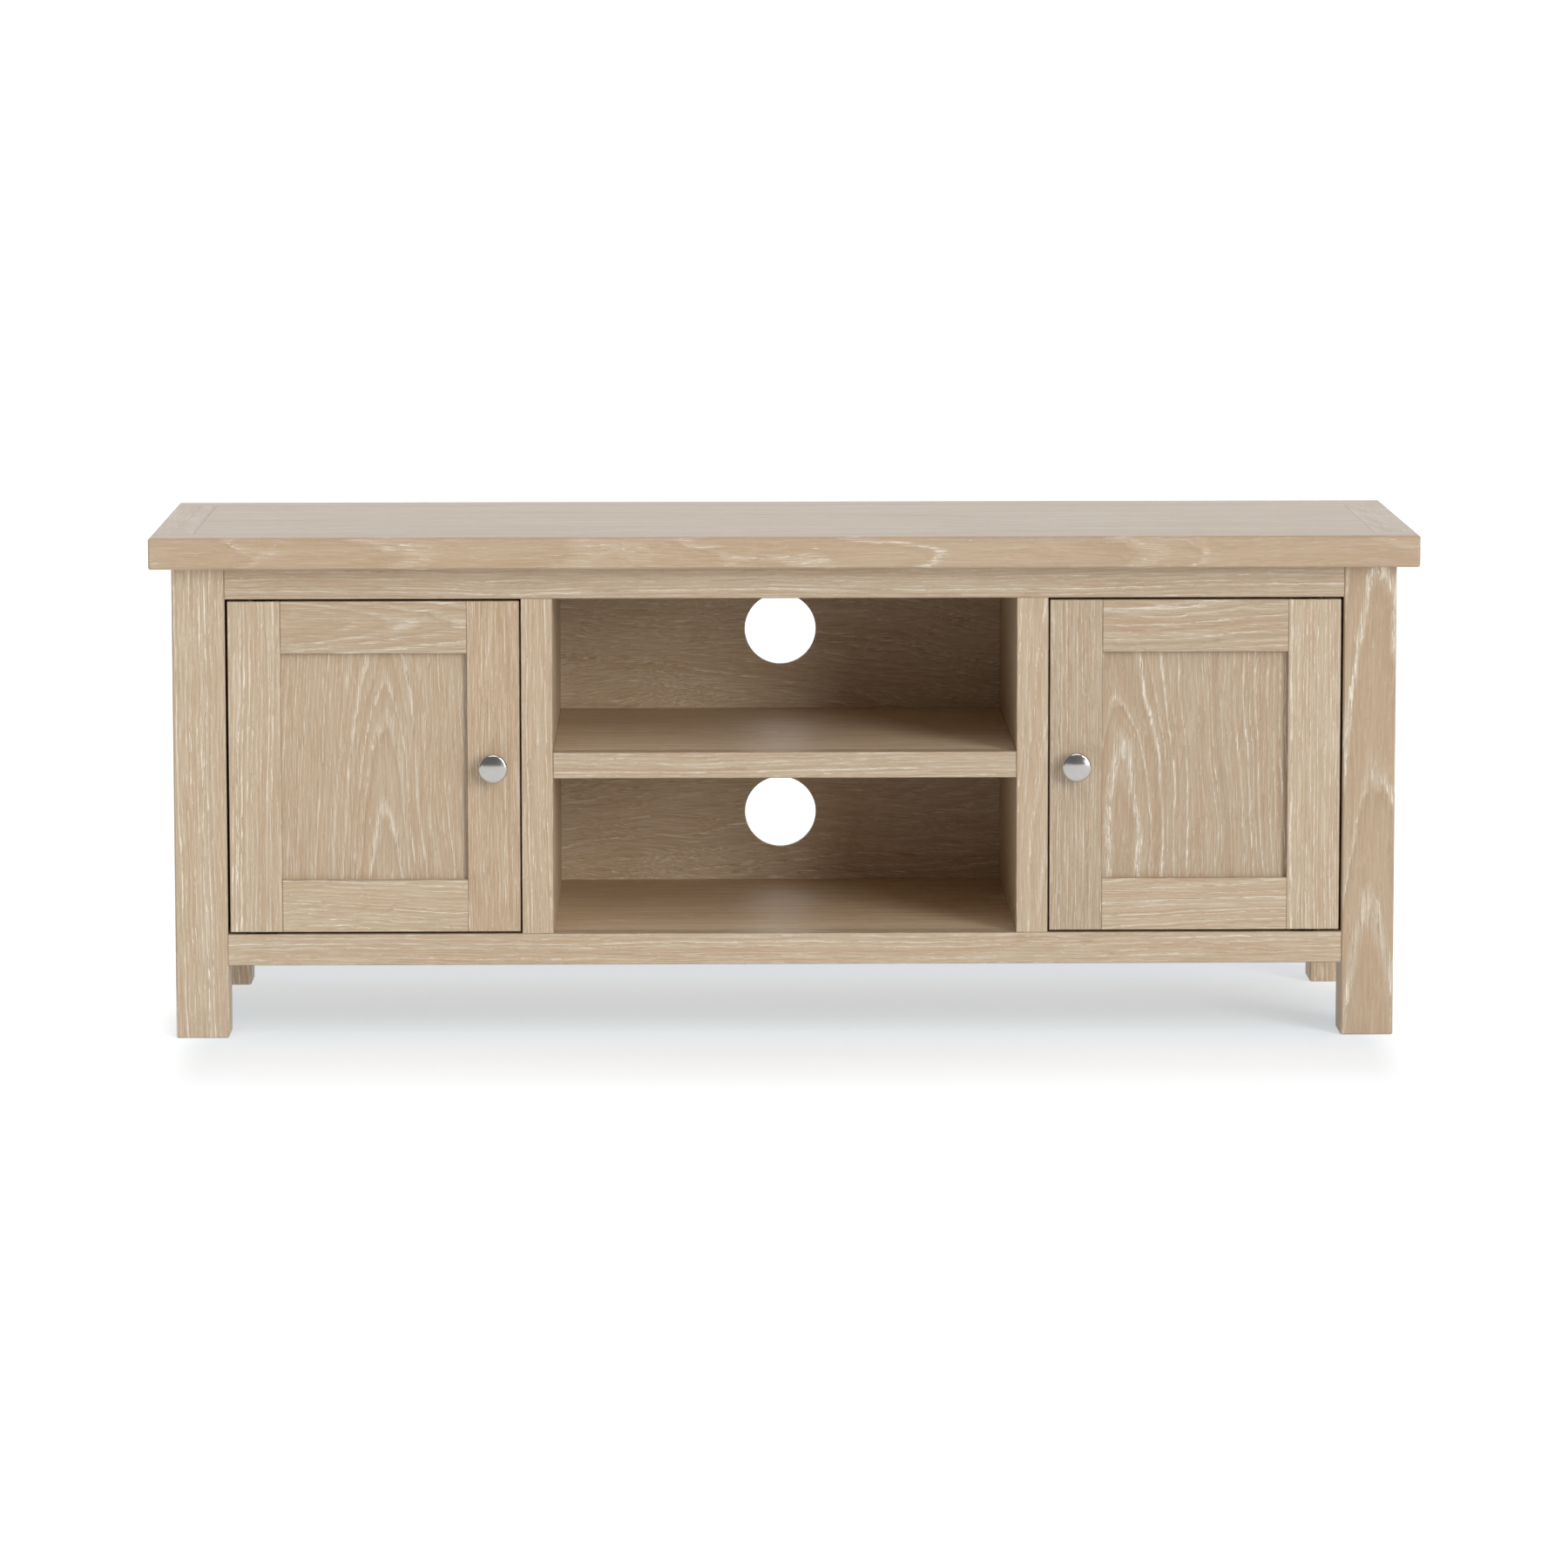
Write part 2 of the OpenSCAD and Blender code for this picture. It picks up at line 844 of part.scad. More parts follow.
// Rail at the foot of the right door, grooved along its upper edge, with a tongue at each end
module door_foot_rail() {
    rail_x0 = lock_x + door_frame_w;
    rail_x1 = hinge_x - door_frame_w;
    difference() {
        union() {
            eased_block([rail_x0, front_y, door_low_z],
                        [rail_x1, door_back_y, door_low_z + door_frame_w]);
            block([rail_x0 - tongue_l, groove_y0, door_low_z + tenon_shoulder],
                  [rail_x1 + tongue_l, groove_y1, door_low_z + door_frame_w - joint_chamfer]);
        }
        block([rail_x0 - groove_d, groove_y0, door_low_z + door_frame_w - groove_d],
              [rail_x1 + groove_d, groove_y1, door_low_z + door_frame_w + 1]);
    }
}

module door_bottom_rail(side) {
    color(limed_oak) on_side(side) door_foot_rail();
}

module door_top_rail(side) {
    color(limed_oak) on_side(side)
        translate([0, 0, 2 * mid_z]) mirror([0, 0, 1]) door_foot_rail();
}

// Flat panel that floats in the grooves of the frame
module door_panel(side) {
    reach = door_frame_w - tongue_l;
    color(limed_oak) on_side(side)
        block([lock_x + reach, groove_y0, door_low_z + reach],
              [hinge_x - reach, groove_y1, door_high_z - reach]);
}

module door_hinge_leaves(side) {
    color(dark_steel) on_side(side) both_heights() difference() {
        translate([0, 0, door_low_z]) linear_extrude(leaf_t) leaf_outline();
        rod_z([pivot_x, pivot_y, door_low_z - 1], pin_r + pin_clearance, leaf_t + 2);
        door_leaf_screws(screw_spare);
    }
}

module door_leaf_screw_set(side) {
    color(steel) on_side(side) both_heights() door_leaf_screws();
}

// Steel plate on the back of the door, opposite the magnet
module strike_plate(side) {
    color(steel) on_side(side)
        eased_block([catch_x + strike_inset, door_back_y, catch_z + strike_inset],
                    [catch_x + catch_w - strike_inset, door_back_y + strike_t,
                     catch_z + catch_h - strike_inset], strike_chamfer);
}

knob_foot_r = 8;
knob_foot_h = 1;
knob_waist_h = 5;
knob_neck_r = 6;
knob_rim_r = 3;
knob_dome_h = 1.2;

// Half section of the knob: radius against height, with a waisted neck, a rounded rim
// and a shallow domed face
function knob_section() = let(
    rim_h = knob_l - knob_dome_h - knob_rim_r,
    under_h = rim_h - knob_rim_r,
    neck_h = knob_foot_h + knob_waist_h,
    waist = [for (i = [0:8]) let(t = i / 8)
        [knob_foot_r - (knob_foot_r - knob_neck_r) * sin(90 * t), knob_foot_h + knob_waist_h * t]],
    flare = [for (i = [1:6]) let(t = i / 6)
        [knob_neck_r + (knob_d / 2 - knob_rim_r - knob_neck_r) * (1 - cos(90 * t)),
         neck_h + (under_h - neck_h) * sin(90 * t)]],
    rim = [for (a = [-75:15:75])
        [knob_d / 2 - knob_rim_r + knob_rim_r * cos(a), rim_h + knob_rim_r * sin(a)]],
    dome = [for (i = [0:6]) let(r = (knob_d / 2 - knob_rim_r) * (1 - i / 6))
        [r, knob_l - knob_dome_h * pow(r / (knob_d / 2 - knob_rim_r), 2)]]
) concat([[0, 0], [knob_foot_r, 0]], waist, flare, rim, dome);

module knob(side) {
    color(nickel) on_side(side) difference() {
        translate([knob_x, front_y, mid_z]) rotate([90, 0, 0])
            rotate_extrude() polygon(knob_section());
        rod_y([knob_x, front_y - knob_screw_bite - 1, mid_z], knob_screw_r, knob_screw_bite + 2);
    }
}

module knob_screw(side) {
    head_r = 4;
    head_h = 2.2;
    color(steel) on_side(side) {
        rod_y([knob_x, front_y - knob_screw_bite, mid_z], knob_screw_r, knob_screw_bite + door_t);
        rod_y([knob_x, door_back_y, mid_z], head_r, head_h);
    }
}

module left_door_hinge_stile() {
    door_hinge_stile(LEFT);
}

module left_door_lock_stile() {
    door_lock_stile(LEFT);
}

module left_door_top_rail() {
    door_top_rail(LEFT);
}

module left_door_bottom_rail() {
    door_bottom_rail(LEFT);
}

module left_door_panel() {
    door_panel(LEFT);
}

module left_door_hinge_leaves() {
    door_hinge_leaves(LEFT);
}

module left_door_leaf_screws() {
    door_leaf_screw_set(LEFT);
}

module left_strike_plate() {
    strike_plate(LEFT);
}

module left_knob() {
    knob(LEFT);
}

module left_knob_screw() {
    knob_screw(LEFT);
}

module right_door_hinge_stile() {
    door_hinge_stile(RIGHT);
}

module right_door_lock_stile() {
    door_lock_stile(RIGHT);
}

module right_door_top_rail() {
    door_top_rail(RIGHT);
}

module right_door_bottom_rail() {
    door_bottom_rail(RIGHT);
}

module right_door_panel() {
    door_panel(RIGHT);
}

module right_door_hinge_leaves() {
    door_hinge_leaves(RIGHT);
}

module right_door_leaf_screws() {
    door_leaf_screw_set(RIGHT);
}

module right_strike_plate() {
    strike_plate(RIGHT);
}

module right_knob() {
    knob(RIGHT);
}

module right_knob_screw() {
    knob_screw(RIGHT);
}

// ---- Nodes ----

top_centre_panel();
top_front_strip();
top_back_strip();
top_left_end();
top_right_end();
front_left_leg();
front_right_leg();
rear_left_leg();
rear_right_leg();
front_top_rail();
front_bottom_rail();
left_stile();
right_stile();
rear_top_rail();
rear_bottom_rail();
left_side_top_rail();
left_side_bottom_rail();
left_side_panel();
right_side_top_rail();
right_side_bottom_rail();
right_side_panel();
base_panel();
left_partition();
right_partition();
shelf_board();
shelf_lipping();
carcass_dowels();
back_panel();
back_panel_screws();
top_fixing_blocks();
top_fixing_screws();
door_stops();
door_bumpers();
catch_bodies();
catch_magnets();
catch_screws();
frame_hinge_leaves();
frame_leaf_screws();
hinge_washers();
left_door_hinge_stile();
left_door_lock_stile();
left_door_top_rail();
left_door_bottom_rail();
left_door_panel();
left_door_hinge_leaves();
left_door_leaf_screws();
left_strike_plate();
left_knob();
left_knob_screw();
right_door_hinge_stile();
right_door_lock_stile();
right_door_top_rail();
right_door_bottom_rail();
right_door_panel();
right_door_hinge_leaves();
right_door_leaf_screws();
right_strike_plate();
right_knob();
right_knob_screw();
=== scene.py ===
"""Looks of the limed oak media cabinet: oak boards, nickel knobs and fittings, floor, light and camera."""

import json
import math

import bpy
import numpy as np
from mathutils import Euler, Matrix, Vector


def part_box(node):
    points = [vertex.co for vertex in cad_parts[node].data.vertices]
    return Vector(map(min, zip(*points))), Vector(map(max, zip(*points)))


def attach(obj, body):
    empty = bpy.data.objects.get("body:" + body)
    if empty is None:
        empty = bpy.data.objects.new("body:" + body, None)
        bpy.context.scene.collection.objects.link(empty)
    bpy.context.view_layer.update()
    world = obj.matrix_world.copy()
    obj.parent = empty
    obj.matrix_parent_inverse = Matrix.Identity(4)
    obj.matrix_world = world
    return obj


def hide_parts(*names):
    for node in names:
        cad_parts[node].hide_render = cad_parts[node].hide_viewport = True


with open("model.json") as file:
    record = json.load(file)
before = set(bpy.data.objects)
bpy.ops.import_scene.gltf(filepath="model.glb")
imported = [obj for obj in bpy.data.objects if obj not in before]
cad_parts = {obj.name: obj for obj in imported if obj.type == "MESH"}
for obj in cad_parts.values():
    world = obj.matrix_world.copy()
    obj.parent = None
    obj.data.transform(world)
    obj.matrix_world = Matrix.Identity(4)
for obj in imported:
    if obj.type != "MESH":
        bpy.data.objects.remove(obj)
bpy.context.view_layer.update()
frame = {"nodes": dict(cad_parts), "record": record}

MM = 0.001
nodes = frame["nodes"]
mounts = {m["name"]: m for m in frame["record"]["mounts"]}
node_slot = {part["node"]: part["material_slot"] for part in frame["record"]["subparts"]}


# ---- Node helpers ----


def feed(tree, socket, value):
    """Links an input to an output, or sets it to a number, a triple or a colour."""
    if isinstance(value, bpy.types.NodeSocket):
        tree.links.new(value, socket)
    else:
        socket.default_value = value


def add(tree, kind, values=None, **settings):
    """A shader node of one kind with its settings, and a number or a link on each input in values."""
    node = tree.nodes.new("ShaderNode" + kind)
    for name, setting in settings.items():
        setattr(node, name, setting)
    for name, value in (values or {}).items():
        feed(tree, node.inputs[name], value)
    return node


def calc(tree, operation, *values):
    """The result of one Math node on numbers or links."""
    return add(tree, "Math", dict(enumerate(values)), operation=operation).outputs[0]


def vector(tree, operation, *values):
    """The result of one Vector Math node on triples or links."""
    return add(tree, "VectorMath", dict(enumerate(values)), operation=operation).outputs[0]


def stretch(tree, value, factor):
    """A triple or a colour times one number or link."""
    return add(tree, "VectorMath", {0: value, "Scale": factor}, operation="SCALE").outputs[0]


def ramp(tree, value, low, high, start=0.0, end=1.0):
    """A smooth step: start below low, end above high."""
    limits = {"Value": value, "From Min": low, "From Max": high, "To Min": start, "To Max": end}
    node = add(tree, "MapRange", limits, interpolation_type="SMOOTHSTEP")
    return node.outputs["Result"]


def noise(tree, place, scale, detail=2.0, roughness=0.5):
    """Noise on a place in millimetres, with its own scale along each axis. Returns the node."""
    scaled = vector(tree, "MULTIPLY", place, scale)
    values = {"Vector": scaled, "Scale": 1.0, "Detail": detail, "Roughness": roughness}
    return add(tree, "TexNoise", values)


def blend(tree, factor, first, second):
    """A mix of two colours. A colour Mix node takes its factor and colours on inputs 0, 6 and 7."""
    return add(tree, "Mix", {0: factor, 6: first, 7: second}, data_type="RGBA").outputs[2]


def group(name, inputs, outputs):
    """An empty shader node group with named inputs and outputs, given as (name, kind, default)."""
    tree = bpy.data.node_groups.new(name, "ShaderNodeTree")
    for label, kind, default in inputs:
        socket = tree.interface.new_socket(label, in_out="INPUT", socket_type="NodeSocket" + kind)
        if default is not None:
            socket.default_value = default
    for label, kind in outputs:
        tree.interface.new_socket(label, in_out="OUTPUT", socket_type="NodeSocket" + kind)
    return tree, tree.nodes.new("NodeGroupInput").outputs, tree.nodes.new("NodeGroupOutput").inputs


def place_group(tree, grouped, values):
    """A node group placed in a material with its own values."""
    return add(tree, "Group", values, node_tree=grouped).outputs


def new_material(name):
    """A material with an empty tree, its Principled shader and its object coordinates."""
    material = bpy.data.materials.new(name)
    material.use_nodes = True
    tree = material.node_tree
    tree.nodes.clear()
    shader = add(tree, "BsdfPrincipled")
    add(tree, "OutputMaterial", {"Surface": shader.outputs[0]})
    return material, tree, shader, add(tree, "TexCoord").outputs


def in_millimetres(tree, coords):
    """Object coordinates in millimetres."""
    return vector(tree, "MULTIPLY", coords["Object"], (1 / MM, 1 / MM, 1 / MM))


def emboss(tree, shader, height, strength, depth):
    """Bumps on a shader's normal, up to a depth in metres."""
    bump = add(tree, "Bump", {"Height": height, "Strength": strength, "Distance": depth})
    tree.links.new(bump.outputs[0], shader.inputs["Normal"])


def rgb(red, green, blue):
    """An opaque colour."""
    return (red, green, blue, 1.0)


# ---- Limed oak ----

OAK_TAN = rgb(0.50, 0.355, 0.225)
OAK_GREY = rgb(0.545, 0.435, 0.305)
OAK_BROWN = rgb(0.33, 0.21, 0.12)
OAK_HAZE = rgb(0.64, 0.535, 0.40)
OAK_LIME = rgb(0.86, 0.79, 0.67)
# Colour of the painted shade along the seams between boards
SEAM_SHADE_BROWN = rgb(0.24, 0.165, 0.105)

# Noise scales per millimetre, along the grain and on the two axes across it
BEND_SCALE = (0.0032, 0.010, 0.010)
CURL_SCALE = (0.024, 0.07, 0.07)
PORE_SCALE = (0.042, 1.45, 1.45)
VESSEL_SCALE = (0.018, 1.20, 1.20)
STREAK_SCALE = (0.010, 0.42, 0.42)
TONE_SCALE = (0.0035, 0.10, 0.10)
PATCH_SCALE = (0.007, 0.030, 0.030)

# Noise scale per ring that makes the rings' widths uneven
UNEVEN_SCALE = 0.55

# How far the curl moves a point, in millimetres, and a step between one board's noise and the next
CURL_REACH = (0.0, 3.2, 3.2)
SEED_SHIFT = (137.0, 71.0, 53.0)

# Share of a ring in which its early wood opens, and where its late wood darkens
OPENING = 0.12
LATE_WOOD = (0.60, 0.97)

# Noise over which a coarse pore shows in late wood, and how much lower it is in early wood
PORE_GATE = 0.71
EARLY_DROP = 0.21

# How much of its colour each feature lays over the wood
HAZE_SHARE = 0.66
LATE_SHARE = 0.26
PALE_SHARE = 0.56
VESSEL_SHARE = 0.74
EMPTY_SHARE = 0.5


def spread(tree, value, gain):
    """A value between 0 and 1 moved to lie round 0, times a gain."""
    return calc(tree, "MULTIPLY", calc(tree, "SUBTRACT", value, 0.5), gain)


def make_oak_group():
    """Limed oak cut from a log. Growth rings are cylinders round a pith that lies beside the board
    and leans along it, bent by slow noise and made uneven by noise on the radius itself. Each ring
    opens with a band of coarse pores that lime has filled, and ends with smooth late wood. Fine
    brown and pale vessels run through both. All pores are noise drawn out along the grain."""
    tree, given, result = group(
        "Limed oak",
        [
            ("Place", "Vector", None),
            ("Seed", "Float", 0.0),
            ("Pith Depth", "Float", 40.0),
            ("Pith Across", "Float", 0.0),
            ("Ring Width", "Float", 5.0),
            ("Lean", "Float", 0.05),
            ("Sway", "Float", 10.0),
            ("Lime", "Float", 0.6),
            ("Open", "Float", 0.5),
            ("Warm", "Float", 0.5),
            ("Fine", "Float", 0.5),
            ("Tone", "Float", 1.0),
        ],
        [("Color", "Color"), ("Roughness", "Float"), ("Height", "Float")],
    )
    shift = stretch(tree, SEED_SHIFT, given["Seed"])
    place = vector(tree, "ADD", given["Place"], shift)

    # The board's grain as it runs: bent slowly, and curled on a smaller scale
    bend = noise(tree, place, BEND_SCALE, 2.0).outputs["Color"]
    swayed = stretch(tree, vector(tree, "SUBTRACT", bend, (0.5, 0.5, 0.5)), given["Sway"])
    curl = noise(tree, place, CURL_SCALE, 3.0, 0.6).outputs["Color"]
    curl = vector(tree, "MULTIPLY", vector(tree, "SUBTRACT", curl, (0.5, 0.5, 0.5)), CURL_REACH)
    flow = vector(tree, "ADD", vector(tree, "ADD", swayed, curl), given["Place"])

    # Rings: the distance from the pith over the ring width, whose fraction is the place in one ring
    along = add(tree, "SeparateXYZ", {0: given["Place"]}).outputs["X"]
    parts = add(tree, "SeparateXYZ", {0: flow}).outputs
    deep = calc(tree, "SUBTRACT", parts["Y"], given["Pith Depth"])
    aside = calc(tree, "SUBTRACT", parts["Z"], given["Pith Across"])
    square = calc(tree, "ADD", calc(tree, "MULTIPLY", deep, deep), calc(tree, "MULTIPLY", aside, aside))
    lean = calc(tree, "MULTIPLY", along, given["Lean"])
    rings = calc(tree, "DIVIDE", calc(tree, "ADD", calc(tree, "SQRT", square), lean), given["Ring Width"])
    wander = {"W": rings, "Scale": UNEVEN_SCALE, "Detail": 1.0}
    uneven = add(tree, "TexNoise", wander, noise_dimensions="1D").outputs["Fac"]
    rings = calc(tree, "ADD", rings, spread(tree, uneven, 1.5))
    rings = calc(tree, "ADD", rings, given["Seed"])
    phase = calc(tree, "FRACT", rings)
    number = add(tree, "TexWhiteNoise", {"W": calc(tree, "FLOOR", rings)}, noise_dimensions="1D")
    strength = ramp(tree, number.outputs["Value"], 0.0, 1.0, 0.35, 1.0)
    opening = ramp(tree, phase, 0.0, OPENING)
    closing = ramp(tree, phase, calc(tree, "MULTIPLY", given["Open"], 0.45), given["Open"], 1.0, 0.0)
    early = calc(tree, "MULTIPLY", calc(tree, "MULTIPLY", opening, closing), strength)

    drawn = vector(tree, "ADD", flow, shift)
    coarse = noise(tree, drawn, PORE_SCALE, 2.0, 0.6).outputs["Fac"]
    fine = noise(tree, drawn, VESSEL_SCALE, 3.0, 0.70).outputs["Fac"]
    streak = noise(tree, drawn, STREAK_SCALE, 2.0, 0.55).outputs["Fac"]
    tone = noise(tree, drawn, TONE_SCALE, 3.0, 0.6).outputs["Fac"]
    patch = noise(tree, place, PATCH_SCALE, 2.0).outputs["Fac"]

    # Coarse pores: thick in the early wood, nearly none in the late wood
    gate = calc(tree, "SUBTRACT", PORE_GATE, calc(tree, "MULTIPLY", early, EARLY_DROP))
    gate = calc(tree, "SUBTRACT", gate, spread(tree, streak, 0.22))
    pore = ramp(tree, calc(tree, "SUBTRACT", coarse, gate), -0.02, 0.06)
    filled = ramp(tree, calc(tree, "ADD", patch, spread(tree, streak, 0.8)), 0.26, 0.52)
    limed = calc(tree, "MULTIPLY", calc(tree, "MULTIPLY", pore, filled), given["Lime"])
    empty = calc(tree, "MULTIPLY", pore, calc(tree, "SUBTRACT", 1.0, filled))

    # Fine vessels, brown and pale: strongest in the early wood
    depth = calc(tree, "ADD", 0.50, calc(tree, "MULTIPLY", early, 0.80))
    depth = calc(tree, "MULTIPLY", given["Fine"], depth)
    vessel = calc(tree, "MULTIPLY", ramp(tree, fine, 0.50, 0.36), depth)
    pale = calc(tree, "MULTIPLY", ramp(tree, fine, 0.52, 0.64), depth)

    warmth = calc(tree, "ADD", given["Warm"], spread(tree, tone, 1.7))
    wood = blend(tree, ramp(tree, warmth, 0.0, 1.0), OAK_GREY, OAK_TAN)
    haze = calc(tree, "MULTIPLY", calc(tree, "MULTIPLY", early, given["Lime"]), HAZE_SHARE)
    wood = blend(tree, haze, wood, OAK_HAZE)
    late = calc(tree, "MULTIPLY", strength, LATE_SHARE)
    late = calc(tree, "MULTIPLY", ramp(tree, phase, *LATE_WOOD), late)
    wood = blend(tree, late, wood, OAK_BROWN)
    wood = blend(tree, calc(tree, "MULTIPLY", pale, PALE_SHARE), wood, OAK_LIME)
    wood = blend(tree, calc(tree, "MULTIPLY", vessel, VESSEL_SHARE), wood, OAK_BROWN)
    wood = blend(tree, calc(tree, "MULTIPLY", empty, EMPTY_SHARE), wood, OAK_BROWN)
    wood = blend(tree, limed, wood, OAK_LIME)
    tree.links.new(stretch(tree, wood, given["Tone"]), result["Color"])

    gloss = calc(tree, "ADD", 0.46, calc(tree, "MULTIPLY", pore, 0.2))
    tree.links.new(calc(tree, "ADD", gloss, spread(tree, tone, 0.2)), result["Roughness"])
    hollow = calc(tree, "ADD", calc(tree, "MULTIPLY", pore, -0.6), calc(tree, "MULTIPLY", vessel, -0.3))
    relief = calc(tree, "ADD", hollow, calc(tree, "MULTIPLY", early, -0.3))
    tree.links.new(calc(tree, "ADD", relief, spread(tree, streak, 0.3)), result["Height"])
    return tree


def make_seam_shade_group():
    """Painted shade round each face of a board, along its edges, where the seams between boards fall in
    shade. The distance from a point to each pair of the board's faces is half its size less the size of
    the place; on a face one of the three is zero and the middle one is the distance to the nearest edge."""
    tree, given, result = group(
        "Painted seam shade",
        [("Place", "Vector", None), ("Half Size", "Vector", None), ("Width", "Float", 0.7)],
        [("Mask", "Float")],
    )
    inside = vector(tree, "SUBTRACT", given["Half Size"], vector(tree, "ABSOLUTE", given["Place"]))
    gaps = add(tree, "SeparateXYZ", {0: inside}).outputs
    least = calc(tree, "MINIMUM", gaps["X"], gaps["Y"])
    most = calc(tree, "MAXIMUM", gaps["X"], gaps["Y"])
    middle = calc(tree, "MAXIMUM", least, calc(tree, "MINIMUM", most, gaps["Z"]))
    # Noise breaks the painted shade into patches
    patchy = noise(tree, given["Place"], (0.05, 0.09, 0.09), 3.0).outputs["Fac"]
    mask = ramp(tree, calc(tree, "DIVIDE", middle, given["Width"]), 0.5, 1.0, 1.0, 0.0)
    tree.links.new(calc(tree, "MULTIPLY", mask, ramp(tree, patchy, 0.3, 0.6, 0.5, 1.0)), result["Mask"])
    return tree


oak_group = make_oak_group()
seam_shade_group = make_seam_shade_group()

# Boards inside the open bay, with a duller finish than the rest
INNER = ("base_panel", "left_partition", "right_partition", "shelf_board", "back_panel")

# Turns that bring each grain direction onto X
GRAIN_TURN = {"X": (0.0, 0.0, 0.0), "Y": (0.0, 0.0, -math.pi / 2), "Z": (0.0, math.pi / 2, 0.0)}

# What a board has unless it says otherwise
USUAL = {"Lean": 0.03, "Sway": 14.0, "Lime": 0.8, "Open": 0.5, "Warm": 0.5, "Fine": 0.8, "Tone": 1.0}

# Boards' seeds: this many different ones, and this many to a unit
SEED_COUNT = 97
SEEDS_PER_UNIT = 7

# Width in millimetres of the painted shade along each board's edges
SEAM_SHADE_WIDTH = 0.7


def make_oak(node, grain, pith, ring, **differs):
    """Oak for one board: its grain runs along one axis, measured from the middle of the board's box,
    and its seed comes from the letters of its name."""
    low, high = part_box(node)
    material, tree, shader, coords = new_material("oak_" + node)
    turn = Euler(GRAIN_TURN[grain])
    middle = turn.to_matrix() @ ((low + high) / 2 / MM)
    mapping = add(tree, "Mapping", {"Vector": coords["Object"], "Location": -middle})
    mapping.inputs["Rotation"].default_value = turn
    mapping.inputs["Scale"].default_value = (1 / MM, 1 / MM, 1 / MM)
    place = mapping.outputs[0]
    letters = sum(ord(letter) * (i + 1) for i, letter in enumerate(node))
    seed = letters % SEED_COUNT / SEEDS_PER_UNIT
    values = dict(USUAL, Place=place, Seed=seed)
    values.update({"Pith Depth": pith[0], "Pith Across": pith[1], "Ring Width": ring})
    values.update({name.capitalize(): value for name, value in differs.items()})
    oak = place_group(tree, oak_group, values)
    half = Vector(abs(part) for part in turn.to_matrix() @ ((high - low) / 2 / MM))
    edges = {"Place": place, "Half Size": half, "Width": SEAM_SHADE_WIDTH}
    seam_shade = place_group(tree, seam_shade_group, edges)["Mask"]
    # Painted shade darkens the wood along each edge of the board
    tree.links.new(blend(tree, seam_shade, oak["Color"], SEAM_SHADE_BROWN), shader.inputs["Base Color"])
    tree.links.new(oak["Roughness"], shader.inputs["Roughness"])
    emboss(tree, shader, oak["Height"], 0.5, 0.3 * MM)
    dull = node in INNER
    shader.inputs["Specular IOR Level"].default_value = 0.12 if dull else 0.5
    shader.inputs["Coat Weight"].default_value = 0.0 if dull else 0.25
    shader.inputs["Coat Roughness"].default_value = 0.35
    return material


